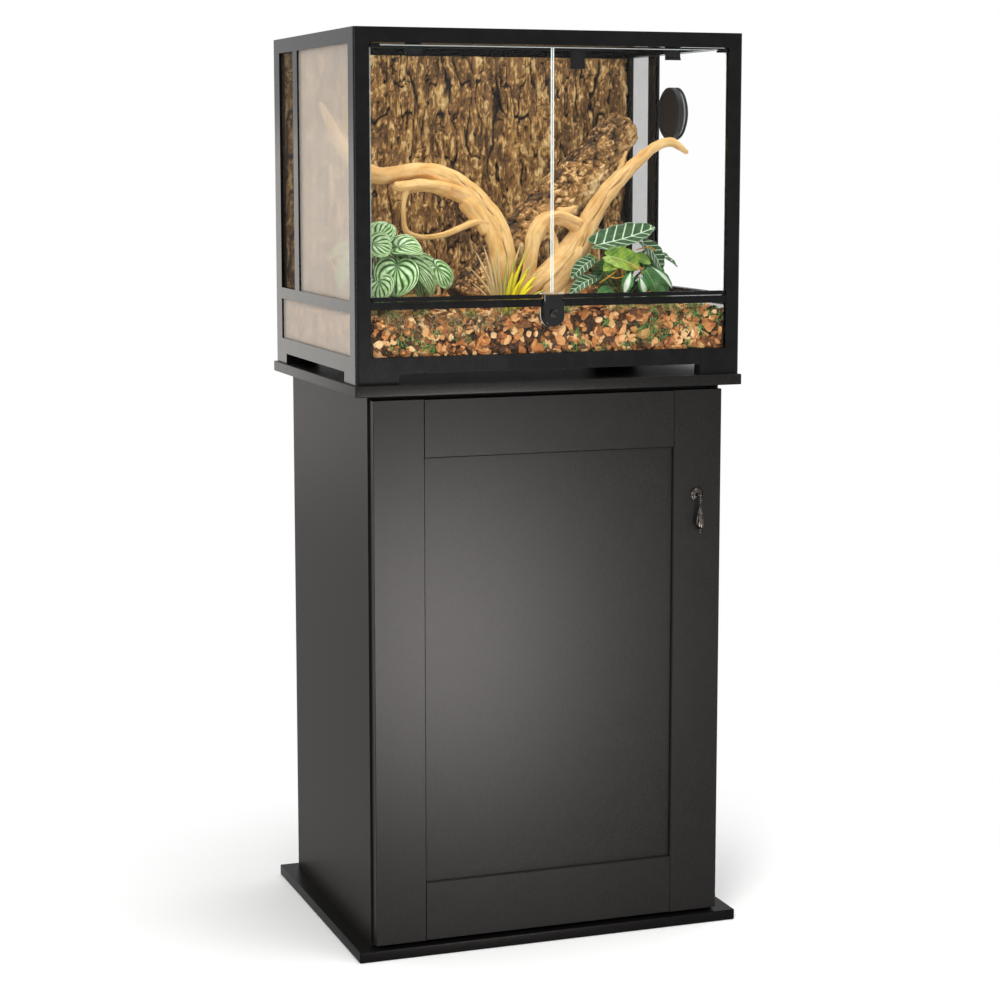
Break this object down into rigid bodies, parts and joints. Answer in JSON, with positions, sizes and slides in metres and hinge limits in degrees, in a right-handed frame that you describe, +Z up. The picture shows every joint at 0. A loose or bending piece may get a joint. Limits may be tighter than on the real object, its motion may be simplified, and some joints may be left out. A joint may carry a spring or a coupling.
{
  "type": "reptile terrarium",
  "caption": "Front-opening glass terrarium with a planted bark layout, on a black one-door cabinet stand.",
  "frame": {"origin": "centre of the base board's underside, on the floor", "axes": "+X to the right along the front, +Y towards the back, +Z up; the doors face -Y"},
  "size_m": [0.6172, 0.4814, 1.375],
  "materials": {
    "laminate_black": "matte black-brown laminate with a fine wood grain",
    "frame_black": "satin-gloss moulded plastic",
    "glass_clear": "clear float glass with green-grey edges",
    "steel_plain": "plain zinc-plated steel",
    "pull_pewter": "dark antique pewter, worn brighter on the high points",
    "screen_steel": "woven stainless mesh",
    "screen_dark": "dark coated mesh",
    "lock_chrome": "dark chromed cylinder",
    "clip_black": "matte moulded plastic",
    "port_black": "matte moulded plastic",
    "bark_brown": "rough fissured bark",
    "soil_chips": "loose bark chips and coir",
    "cork_brown": "knobbly cork bark",
    "driftwood_tan": "smooth weathered wood with cracks",
    "leaf_striped": "pale green leaves with dark stripes",
    "moss_roots": "dark mossy fibre",
    "leaf_green": "dark green leaves with pale veins, and dry grass"
  },
  "bodies": {
    "terrarium": {"base_board": "laminate_black", "top_board": "laminate_black", "side_panel_left": "laminate_black", "side_panel_right": "laminate_black", "back_panel": "laminate_black", "shelf": "laminate_black", "shelf_pins": "steel_plain", "front_stretcher": "laminate_black", "hinge_arms": "steel_plain", "door_catch": "clip_black", "base_corners": "frame_black", "base_rails_long": "frame_black", "base_rails_short": "frame_black", "bottom_pane": "glass_clear", "posts_front": "frame_black", "posts_back": "frame_black", "top_corners": "frame_black", "top_rail_front": "frame_black", "top_rail_back": "frame_black", "top_rails_side": "frame_black", "transom_front": "frame_black", "transoms_side": "frame_black", "mullions": "frame_black", "low_pane_front": "glass_clear", "low_panes_side": "glass_clear", "side_pane_left": "glass_clear", "side_pane_right": "glass_clear", "back_pane": "glass_clear", "vent_screens": "screen_steel", "lock_housing": "frame_black", "port_ring": "port_black", "bark_background": "bark_brown", "substrate": "soil_chips", "cork_log": "cork_brown", "driftwood_left": "driftwood_tan", "driftwood_right": "driftwood_tan", "striped_plant": "leaf_striped", "root_ball": "moss_roots", "ground_plants": "leaf_green"},
    "cabinet_door": {"door_stile_left": "laminate_black", "door_stile_right": "laminate_black", "door_rail_top": "laminate_black", "door_rail_bottom": "laminate_black", "door_panel": "laminate_black", "hinge_cups": "steel_plain", "strike_plate": "steel_plain", "pull_rosette": "pull_pewter"},
    "pull": {"pull_drop": "pull_pewter"},
    "left_door": {"left_door_glass": "glass_clear", "left_door_foot": "frame_black", "left_door_pivot": "frame_black"},
    "right_door": {"right_door_glass": "glass_clear", "right_door_foot": "frame_black", "right_door_pivot": "frame_black"},
    "knob": {"lock_knob": "lock_chrome"},
    "bar": {"lock_bar": "frame_black"},
    "lid": {"lid_frame": "frame_black", "lid_screen": "screen_dark", "lid_clips": "clip_black"},
    "plug": {"port_plug": "port_black"}
  },
  "joints": [
    {"name": "cabinet_door_hinge", "type": "hinge", "parent": "terrarium", "child": "cabinet_door", "pos_m": [-0.278, -0.208, 0.43], "axis": [0, 0, -1], "range_deg": [0, 100]},
    {"name": "pull_swing", "type": "hinge", "parent": "cabinet_door", "child": "pull", "pos_m": [0.2385, -0.239, 0.679], "axis": [-1, 0, 0], "range_deg": [0, 90]},
    {"name": "left_door_hinge", "type": "hinge", "parent": "terrarium", "child": "left_door", "pos_m": [-0.2755, -0.2189, 1.17], "axis": [0, 0, -1], "range_deg": [0, 110]},
    {"name": "right_door_hinge", "type": "hinge", "parent": "terrarium", "child": "right_door", "pos_m": [0.2815, -0.2189, 1.17], "axis": [0, 0, 1], "range_deg": [0, 110]},
    {"name": "lock_turn", "type": "hinge", "parent": "terrarium", "child": "knob", "pos_m": [0.003, -0.226, 0.961], "axis": [0, -1, 0], "range_deg": [0, 90]},
    {"name": "lock_lift", "type": "slide", "parent": "terrarium", "child": "bar", "axis": [0, 0, 1], "range_m": [0, 0.0081]},
    {"name": "lid_lift", "type": "slide", "parent": "terrarium", "child": "lid", "axis": [0, 0, 1], "range_m": [0, 0.05]},
    {"name": "plug_pull", "type": "slide", "parent": "terrarium", "child": "plug", "axis": [1, 0, 0], "range_m": [0, 0.04]}
  ],
  "couplings": [
    {"joint": "lock_lift", "follows": "lock_turn", "m_per_rad": 0.005093}
  ]
}
